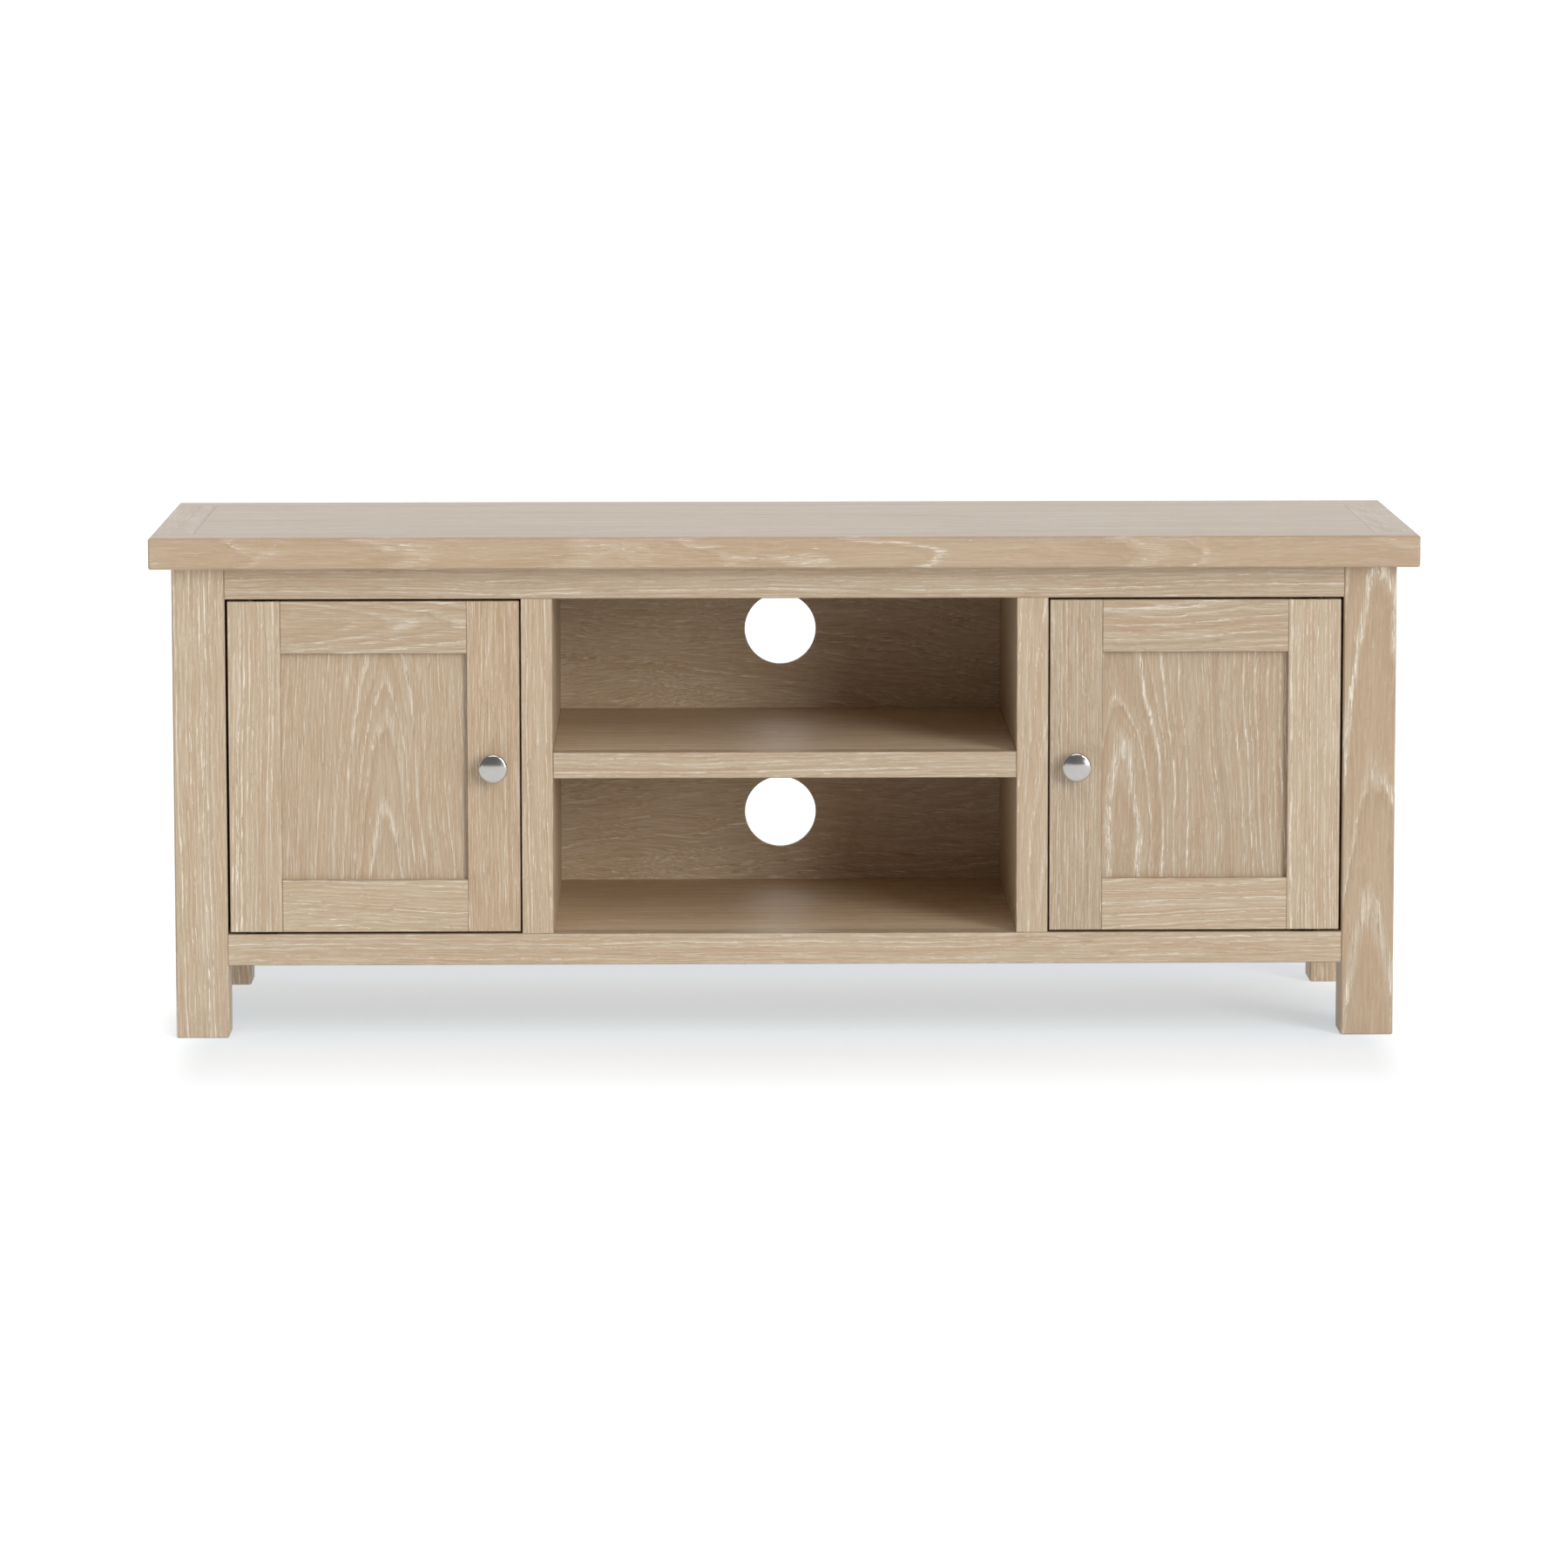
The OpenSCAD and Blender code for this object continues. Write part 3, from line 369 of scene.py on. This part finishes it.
# Grain axis, the pith's place in millimetres from the board's middle (deep, across), ring width in
# millimetres, and what differs from the usual
BOARDS = {
    "top_centre_panel": ("X", (-60, -190), 8.0, dict(lean=0.02, sway=26, lime=0.5)),
    "top_front_strip": (
        "X", (40, -2), 5.5,
        dict(lean=0.035, sway=18, open=0.34, warm=0.75, fine=0.6, lime=0.9, tone=0.96),
    ),
    "top_back_strip": ("X", (60, 18), 6.0, dict(lean=0.04, sway=16)),
    "top_left_end": ("Y", (10, -60), 6.0, dict(lean=0.07)),
    "top_right_end": ("Y", (-14, -70), 6.0, dict(lean=-0.06)),
    "front_left_leg": ("Z", (6, 74), 4.2, dict(lean=0.012, sway=12, lime=0.95, open=0.6)),
    "front_right_leg": (
        "Z", (46, -6), 7.0,
        dict(lean=0.04, sway=20, lime=1.0, open=0.34, warm=0.8, fine=0.6, tone=0.94),
    ),
    "rear_left_leg": ("Z", (-60, 30), 4.5, dict(lean=0.04)),
    "rear_right_leg": ("Z", (-56, -34), 4.5, dict(lean=-0.04)),
    # The top rail's tone of 0.92 is painted shade, standing in for the shadow under the top's overhang
    "front_top_rail": ("X", (14, 60), 4.0, dict(lean=0.006, sway=14, lime=0.7, tone=0.92)),
    "front_bottom_rail": ("X", (12, -60), 4.5, dict(lean=-0.008, sway=14, lime=0.7)),
    "left_stile": ("Z", (10, 60), 3.4, dict(lean=0.01, sway=8)),
    "right_stile": ("Z", (30, -24), 5.0, dict(lean=0.03, sway=16, lime=0.95, open=0.4)),
    "left_side_top_rail": ("Y", (50, 30), 4.0, {}),
    "left_side_bottom_rail": ("Y", (46, -34), 4.0, {}),
    "right_side_top_rail": ("Y", (-50, 34), 4.0, {}),
    "right_side_bottom_rail": ("Y", (-46, -30), 4.0, {}),
    "left_side_panel": ("Z", (80, -10), 6.0, dict(lean=0.09, sway=22)),
    "right_side_panel": ("Z", (-84, 16), 6.0, dict(lean=-0.08, sway=22)),
    # The base panel's tone of 1.24 is painted light: it is brightened for the light that falls on it in
    # the bay
    "base_panel": ("X", (40, -150), 6.0, dict(sway=24, lime=0.4, warm=0.45, tone=1.24)),
    "left_partition": ("Z", (160, 40), 5.0, dict(sway=18, lime=0.4, warm=0.4, tone=0.98)),
    "right_partition": ("Z", (150, -40), 5.0, dict(sway=18, lime=0.4, warm=0.4, tone=0.98)),
    # The shelf's tone of 1.24 is painted light: it is brightened for the light that falls on it in the bay
    "shelf_board": ("X", (-30, -140), 6.0, dict(sway=24, lime=0.4, warm=0.45, tone=1.24)),
    "shelf_lipping": ("X", (10, 52), 4.0, dict(lean=0.01, lime=0.8, fine=0.8, tone=0.94)),
    # The back panel's tone of 1.08 is painted light: it is brightened for the light that reaches into the
    # bay
    "back_panel": (
        "X", (50, -30), 7.0,
        dict(lean=0.12, sway=60, lime=0.35, open=0.4, warm=0.35, fine=1.0, tone=1.08),
    ),
    "rear_top_rail": ("X", (60, 20), 5.0, dict(lime=0.1)),
    "rear_bottom_rail": ("X", (60, -20), 5.0, dict(lime=0.1)),
    "top_fixing_blocks": ("X", (50, 20), 5.0, dict(lime=0.0)),
    "carcass_dowels": ("Z", (50, 20), 4.0, dict(lime=0.0)),
    "door_stops": ("Z", (50, 16), 4.0, {}),
    "left_door_hinge_stile": ("Z", (8, -70), 4.4, dict(lean=0.012, sway=12, lime=0.95, open=0.6)),
    "left_door_lock_stile": (
        "Z", (6, 60), 3.0,
        dict(lean=0.006, sway=6, lime=0.35, warm=0.8, fine=1.0),
    ),
    "left_door_top_rail": (
        "X", (16, 4), 4.0,
        dict(lean=0.07, sway=18, lime=0.6, warm=0.6, fine=0.8, tone=0.92),
    ),
    "left_door_bottom_rail": ("X", (16, -50), 4.2, dict(lean=0.03, sway=20, lime=0.85)),
    "left_door_panel": (
        "Z", (30, -10), 3.6,
        dict(lean=0.06, sway=16, lime=0.6, warm=0.6, fine=0.8, tone=0.95),
    ),
    "right_door_hinge_stile": ("Z", (8, 60), 3.4, dict(lean=0.008, sway=8, lime=0.8, open=0.6)),
    "right_door_lock_stile": (
        "Z", (8, -60), 3.4,
        dict(lean=0.008, sway=8, lime=0.7, warm=0.6, fine=1.0, tone=0.90),
    ),
    "right_door_top_rail": (
        "X", (34, 30), 4.4,
        dict(lean=0.03, sway=20, lime=0.7, fine=0.8, tone=0.92),
    ),
    "right_door_bottom_rail": ("X", (26, 34), 4.2, dict(lean=0.03, sway=20, lime=0.7)),
    "right_door_panel": (
        "Z", (60, 70), 4.6,
        dict(lean=0.05, sway=26, lime=1.0, open=0.4, warm=0.6, fine=0.8, tone=0.90),
    ),
}


# ---- Metals, plastic and felt ----


def make_metal_group():
    """Handled metal: slow smudges, and scratches that are noise drawn out along X."""
    tree, given, result = group(
        "Handled metal",
        [("Place", "Vector", None), ("Base", "Float", 0.1), ("Marks", "Float", 0.1)],
        [("Roughness", "Float"), ("Height", "Float")],
    )
    smudge = noise(tree, given["Place"], (0.12, 0.12, 0.12), 3.0).outputs["Fac"]
    scratch = noise(tree, given["Place"], (0.4, 6.0, 6.0), 2.0, 0.6).outputs["Fac"]
    marks = calc(tree, "ADD", smudge, calc(tree, "MULTIPLY", scratch, 0.5))
    marks = calc(tree, "MULTIPLY", calc(tree, "SUBTRACT", marks, 0.5), given["Marks"])
    tree.links.new(calc(tree, "ADD", given["Base"], marks), result["Roughness"])
    tree.links.new(scratch, result["Height"])
    return tree


metal_group = make_metal_group()


def make_metal(name, colour, roughness, marks, bump):
    """A plated metal with smudges and fine scratches, and a tint a little darker in places."""
    material, tree, shader, coords = new_material(name)
    place = in_millimetres(tree, coords)
    handled = place_group(tree, metal_group, {"Place": place, "Base": roughness, "Marks": marks})
    tint = noise(tree, place, (0.2, 0.2, 0.2), 2.0).outputs["Fac"]
    darker = rgb(*(0.86 * part for part in colour[:3]))
    tree.links.new(blend(tree, tint, darker, colour), shader.inputs["Base Color"])
    tree.links.new(handled["Roughness"], shader.inputs["Roughness"])
    emboss(tree, shader, handled["Height"], bump, 0.02 * MM)
    shader.inputs["Metallic"].default_value = 1.0
    return material


def make_white_plastic():
    """Moulded white plastic with a fine spark texture."""
    material, tree, shader, coords = new_material("white_plastic")
    place = in_millimetres(tree, coords)
    grain = noise(tree, place, (3.0, 3.0, 3.0), 2.0).outputs["Fac"]
    white = blend(tree, grain, rgb(0.74, 0.73, 0.70), rgb(0.84, 0.83, 0.80))
    tree.links.new(white, shader.inputs["Base Color"])
    tree.links.new(ramp(tree, grain, 0.2, 0.8, 0.38, 0.52), shader.inputs["Roughness"])
    emboss(tree, shader, grain, 0.3, 0.1 * MM)
    return material


def make_felt():
    """Pressed grey felt: tangled fibres from rough noise."""
    material, tree, shader, coords = new_material("grey_felt")
    place = in_millimetres(tree, coords)
    fibres = noise(tree, place, (4.0, 4.0, 4.0), 4.0, 0.7).outputs["Fac"]
    grey = blend(tree, fibres, rgb(0.03, 0.03, 0.03), rgb(0.13, 0.125, 0.12))
    tree.links.new(grey, shader.inputs["Base Color"])
    tree.links.new(ramp(tree, fibres, 0.2, 0.8, 0.85, 1.0), shader.inputs["Roughness"])
    emboss(tree, shader, fibres, 0.8, 0.3 * MM)
    return material


FINISHES = {
    "polished_nickel": make_metal("polished_nickel", rgb(0.68, 0.655, 0.62), 0.13, 0.06, 0.06),
    "blackened_steel": make_metal("blackened_steel", rgb(0.035, 0.034, 0.033), 0.42, 0.16, 0.4),
    "zinc_steel": make_metal("zinc_steel", rgb(0.60, 0.61, 0.63), 0.28, 0.16, 0.5),
    "white_plastic": make_white_plastic(),
    "grey_felt": make_felt(),
}


def give(piece, material):
    """The piece wears one material."""
    piece.data.materials.clear()
    piece.data.materials.append(material)


for name, cad_node in nodes.items():
    if name in BOARDS:
        grain, pith, ring, rest = BOARDS[name]
        give(cad_node, make_oak(name, grain, pith, ring, **rest))
    else:
        give(cad_node, FINISHES[node_slot[name]])


# ---- Turned and moulded pieces ----


def mesh_piece(name, points, faces):
    """A smooth-shaded mesh object at the origin, linked to the scene."""
    mesh = bpy.data.meshes.new(name)
    mesh.from_pydata(np.asarray(points).tolist(), [], faces)
    mesh.polygons.foreach_set("use_smooth", [True] * len(mesh.polygons))
    mesh.update()
    piece = bpy.data.objects.new(name, mesh)
    bpy.context.scene.collection.objects.link(piece)
    return piece


def turned_grid(radii, heights, origin, axis, steps, cut=None):
    """Points and faces of a turned shape: the profile (radii against heights) carried round an axis,
    with one shared point at each end. A cut lowers points by a depth that depends on place."""
    turn = np.array(Vector(axis).normalized().to_track_quat("Z", "Y").to_matrix())
    angle = np.linspace(0, 2 * math.pi, steps, endpoint=False)
    x, y = np.outer(radii, np.cos(angle)), np.outer(radii, np.sin(angle))
    z = np.outer(heights, np.ones(steps))
    tip = heights[-1]
    if cut is not None:
        z = z - cut(x, y, z)
        tip = tip - float(cut(np.zeros(1), np.zeros(1), np.array([tip]))[0])
    rings = np.stack([x, y, z], axis=-1).reshape(-1, 3)
    points = np.vstack([rings, [0, 0, heights[0]], [0, 0, tip]])
    points = points @ turn.T + np.array(origin)
    row = np.arange(len(radii) - 1)[:, None] * steps
    column = np.arange(steps)[None, :]
    after = (column + 1) % steps
    quads = np.stack([row + column, row + after, row + steps + after, row + steps + column], -1)
    last = (len(radii) - 1) * steps
    foot = np.stack([np.full(steps, len(points) - 2), after[0], column[0]], -1)
    head = np.stack([np.full(steps, len(points) - 1), last + column[0], last + after[0]], -1)
    return points, quads.reshape(-1, 4).tolist() + foot.tolist() + head.tolist()


def several(name, grids):
    """One piece made of several closed shapes."""
    points, faces, count = [], [], 0
    for part_points, part_faces in grids:
        points.append(part_points)
        faces += [[index + count for index in face] for face in part_faces]
        count += len(part_points)
    return mesh_piece(name, np.vstack(points), faces)


def fit_out(piece, body, node, slot):
    """The piece takes a finish and stands in for a node on its body."""
    give(piece, FINISHES[slot])
    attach(piece, body)
    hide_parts(node)


def knob_profile(radius, length):
    """Radii and heights of a knob: a small foot, a neck that narrows as a quarter wave and flares as
    another, a rounded rim and a shallow domed face."""
    foot, neck, rim, dome = 8.0 * MM, 6.0 * MM, 3.0 * MM, 1.2 * MM
    foot_top, neck_top = 1.0 * MM, 6.0 * MM
    t = np.linspace(0, 1, 24)
    neck_r = foot - (foot - neck) * np.sin(0.5 * math.pi * t)
    neck_z = foot_top + (neck_top - foot_top) * t
    rim_z = length - dome - rim
    flare_r = neck + (radius - rim - neck) * (1 - np.cos(0.5 * math.pi * t))
    flare_z = neck_top + (rim_z - rim - neck_top) * np.sin(0.5 * math.pi * t)
    turn = np.radians(np.linspace(-86, 78, 32))
    rim_r = radius - rim + rim * np.cos(turn)
    rim_h = rim_z + rim * np.sin(turn)
    face_r = (radius - rim) * np.linspace(1, 0.02, 24)
    face_z = length - dome * (face_r / (radius - rim)) ** 2
    radii = np.concatenate([[foot * 0.98, foot], neck_r, flare_r[1:], rim_r, face_r[1:]])
    heights = np.concatenate([[0, 0.1 * MM], neck_z, flare_z[1:], rim_h, face_z[1:]])
    return radii, heights


def make_knob(side):
    """Turned nickel knob on the front of one door."""
    low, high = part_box(side + "_knob")
    radii, heights = knob_profile((high.x - low.x) / 2, high.y - low.y)
    middle = (low + high) / 2
    grid = turned_grid(radii, heights, (middle.x, high.y, middle.z), (0, -1, 0), 128)
    piece = several(side + "_knob_turned", [grid])
    fit_out(piece, side + "_door", side + "_knob", "polished_nickel")


def cross_cut(arm, half, depth, face):
    """Cross recess: deep where both the longer and the shorter distance from the axes are inside an
    arm, with sloping walls, and only above the height of the head's rim."""

    def cut(x, y, z):
        longer = np.maximum(np.abs(x), np.abs(y))
        shorter = np.minimum(np.abs(x), np.abs(y))
        inside = np.clip((arm - longer) / (0.25 * arm), 0, 1) * np.clip((half - shorter) / half * 2, 0, 1)
        return depth * inside * (z > face)

    return cut


def screw_grid(place, axis, shank_r, shank_l, head_r, head_h):
    """Screw with a pointed shank and a domed head: the head is a quarter wave over its radius."""
    t = np.linspace(0, 1, 22)
    dome_r = head_r * np.cos(0.5 * math.pi * t[:-1])
    dome_z = head_h * (0.25 + 0.75 * np.sin(0.5 * math.pi * t[:-1]))
    inner_r = np.linspace(dome_r[-1], 0.02 * head_r, 6)[1:]
    radii = np.concatenate([[0.05 * shank_r, shank_r, shank_r, head_r], dome_r, inner_r])
    heights = np.concatenate([[-shank_l, -0.85 * shank_l, 0, 0], dome_z, np.full(5, head_h)])
    cut = cross_cut(0.55 * head_r, 0.17 * head_r, 0.6 * head_h, 0.3 * head_h)
    return turned_grid(radii, heights, place, axis, 64, cut)


def make_back_screws():
    """Screws in a row along each rear rail and two up each partition, heads on the back panel."""
    low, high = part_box("back_panel_screws")
    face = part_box("back_panel")[1].y
    head_r, shank_r = 3.5 * MM, 1.75 * MM
    rows = [low.z + head_r, high.z - head_r]
    places = [(x, z) for z in rows for x in np.linspace(low.x + head_r, high.x - head_r, 5)]
    middles = [sum(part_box(side + "_partition"), Vector()).x / 2 for side in ("left", "right")]
    heights = [mounts[name + "_cable_hole"]["pos_m"][2] for name in ("lower", "upper")]
    places += [(x, z) for x in middles for z in heights]
    shank = face - low.y
    grids = [screw_grid((x, face, z), (0, 1, 0), shank_r, shank, head_r, high.y - face)
             for x, z in places]
    fit_out(several("back_screws_domed", grids), "cabinet", "back_panel_screws", "zinc_steel")


def make_knob_screw(side):
    """Screw through the door into its knob, head on the back of the door."""
    low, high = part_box(side + "_knob_screw")
    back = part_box(side + "_door_lock_stile")[1].y
    middle = (low + high) / 2
    head_r, shank_r = (high.x - low.x) / 2, 2.0 * MM
    place = (middle.x, back, middle.z)
    grid = screw_grid(place, (0, 1, 0), shank_r, back - low.y, head_r, high.y - back)
    piece = several(side + "_knob_screw_domed", [grid])
    fit_out(piece, side + "_door", side + "_knob_screw", "zinc_steel")


def make_catch_screws():
    """Screws through the side of each catch into the stop."""
    low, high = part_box("catch_screws")
    head_r, head_h = 2.8 * MM, 1.6 * MM
    shank_r, shank = 1.5 * MM, 21.0 * MM
    y = (low.y + high.y) / 2
    grids = [screw_grid((face, y, z), (way, 0, 0), shank_r, shank, head_r, head_h)
             for way, face in ((-1, low.x + head_h), (1, high.x - head_h))
             for z in (low.z + head_r, high.z - head_r)]
    fit_out(several("catch_screws_domed", grids), "cabinet", "catch_screws", "zinc_steel")


def make_felt_pads():
    """Felt discs on the stops: a flat foot, soft bulging sides and a slightly crowned face."""
    low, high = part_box("door_bumpers")
    radius, thick, soft = 4.0 * MM, high.y - low.y, 0.35 * MM
    t = np.linspace(-0.5, 0.5, 12)
    side_r = radius - soft * (2 * t) ** 4
    side_z = thick * (0.5 + 0.9 * t)
    face_r = (radius - soft) * np.linspace(0.96, 0.04, 14)
    face_z = thick * (1 - 0.05 * (face_r / radius) ** 2)
    radii = np.concatenate([[side_r[0] * 0.98], side_r, face_r])
    heights = np.concatenate([[0.0], side_z, face_z])
    grids = [turned_grid(radii, heights, (x, high.y, z), (0, -1, 0), 48)
             for x in (low.x + radius, high.x - radius)
             for z in (low.z + radius, high.z - radius)]
    fit_out(several("felt_pads", grids), "cabinet", "door_bumpers", "grey_felt")


for side in ("left", "right"):
    make_knob(side)
    make_knob_screw(side)
make_back_screws()
make_catch_screws()
make_felt_pads()


# ---- Floor, light and camera ----

FLOOR_REACH = 60.0
FLOOR_GLOW = rgb(0.80, 0.80, 0.80)
# Colours of the painted shadow in the floor's own light: in front of, under and behind the cabinet
FRONT_SHADOW_GLOW = rgb(0.455, 0.455, 0.455)
UNDER_SHADOW_GLOW = rgb(0.38, 0.425, 0.465)
REAR_SHADOW_GLOW = rgb(0.52, 0.55, 0.58)

# Bands in metres over which the painted shadow in the floor's own light fades, across the cabinet and from
# front to back
SIDE_BAND = (0.54, 0.62)
FRONT_BAND = (-0.75, -0.22)
EDGE_BAND = (-0.32, -0.12)
MIDDLE_BAND = (-0.05, 0.22)
REAR_BAND = (0.35, 0.70)

# The camera's place in metres and its turns in degrees
CAMERA_PLACE = (-0.0798, -6.643, 1.0559)
CAMERA_DOWN = 7.17
CAMERA_ROLL = 0.066
CAMERA_YAW = -0.708


def make_floor():
    """Wide pale light table: white with a faint mottle, softly lit from inside. A soft shadow under the
    cabinet is painted into its own light, which is weaker and a little cooler there, and full elsewhere."""
    corners = ((-1, -1), (1, -1), (1, 1), (-1, 1))
    points = [(x * FLOOR_REACH, y * FLOOR_REACH, 0) for x, y in corners]
    floor = mesh_piece("floor", points, [[0, 1, 2, 3]])
    material, tree, shader, coords = new_material("pale_floor")
    mottle = noise(tree, coords["Object"], (0.8, 0.8, 0.8), 2.0).outputs["Fac"]
    white = blend(tree, mottle, rgb(0.66, 0.68, 0.70), rgb(0.70, 0.72, 0.74))
    tree.links.new(white, shader.inputs["Base Color"])
    spot = add(tree, "SeparateXYZ", {0: coords["Object"]}).outputs
    # Painted shadow: where the cabinet stands, the floor's own light is dimmer and cooler
    across = ramp(tree, calc(tree, "ABSOLUTE", spot["X"]), *SIDE_BAND, 1.0, 0.0)
    front = ramp(tree, spot["Y"], *FRONT_BAND)
    rear = ramp(tree, spot["Y"], *REAR_BAND, 1.0, 0.0)
    under = calc(tree, "MULTIPLY", across, calc(tree, "MULTIPLY", front, rear))
    dim = blend(tree, ramp(tree, spot["Y"], *MIDDLE_BAND), UNDER_SHADOW_GLOW, REAR_SHADOW_GLOW)
    dim = blend(tree, ramp(tree, spot["Y"], *EDGE_BAND), FRONT_SHADOW_GLOW, dim)
    glow = blend(tree, under, FLOOR_GLOW, dim)
    tree.links.new(glow, shader.inputs["Emission Color"])
    seen = add(tree, "LightPath").outputs["Is Camera Ray"]
    tree.links.new(ramp(tree, seen, 0.0, 1.0, 0.6, 1.0), shader.inputs["Emission Strength"])
    shader.inputs["Roughness"].default_value = 0.9
    shader.inputs["Specular IOR Level"].default_value = 0.0
    give(floor, material)


def make_sun(name, azimuth, elevation, width, power):
    """Very large far softbox: its azimuth is counted from the front towards the right, and its width
    is the angle that it fills, all in degrees."""
    data = bpy.data.lights.new(name, "SUN")
    data.angle = math.radians(width)
    data.energy = power
    lamp = bpy.data.objects.new(name, data)
    bpy.context.scene.collection.objects.link(lamp)
    turn, lift = math.radians(azimuth), math.radians(elevation)
    flat = math.cos(lift)
    towards = Vector((math.sin(turn) * flat, -math.cos(turn) * flat, math.sin(lift)))
    lamp.rotation_euler = towards.to_track_quat("Z", "Y").to_euler()


def make_world(lit, seen, mirror, studio):
    """White surround, weaker as a light. In reflections it stays white behind the cabinet and falls
    to a dim studio in front of it."""
    world = bpy.data.worlds.new("surround")
    bpy.context.scene.world = world
    world.use_nodes = True
    tree = world.node_tree
    background = tree.nodes["Background"]
    background.inputs["Color"].default_value = rgb(1.0, 1.0, 1.0)
    ray = add(tree, "LightPath").outputs
    towards = add(tree, "SeparateXYZ", {0: add(tree, "TexCoord").outputs["Generated"]}).outputs
    mirrored = ramp(tree, towards["Y"], -0.35, 0.25, studio, mirror)
    strength = calc(tree, "ADD", lit, calc(tree, "MULTIPLY", ray["Is Camera Ray"], seen - lit))
    dimmed = calc(tree, "MULTIPLY", ray["Is Glossy Ray"], calc(tree, "SUBTRACT", mirrored, lit))
    tree.links.new(calc(tree, "ADD", strength, dimmed), background.inputs["Strength"])


def make_camera():
    """Long lens, a little left of the middle and turned to the cabinet's middle, looking slightly down."""
    data = bpy.data.cameras.new("camera")
    data.lens = 157.5
    data.sensor_width = 36.0
    data.clip_end = 100.0
    camera = bpy.data.objects.new("camera", data)
    bpy.context.scene.collection.objects.link(camera)
    camera.location = CAMERA_PLACE
    tilt_down, roll, yaw = (math.radians(turn) for turn in (CAMERA_DOWN, CAMERA_ROLL, CAMERA_YAW))
    camera.rotation_euler = (math.pi / 2 - tilt_down, roll, yaw)
    bpy.context.scene.camera = camera


make_floor()
make_sun("softbox_low", azimuth=32, elevation=8, width=20, power=0.86)
make_sun("softbox_high", azimuth=32, elevation=25, width=24, power=0.86)
make_sun("overhead", azimuth=0, elevation=55, width=40, power=0.50)
make_world(lit=0.27, seen=1.1, mirror=1.28, studio=0.16)
make_camera()
bpy.context.scene.view_settings.view_transform = "Standard"
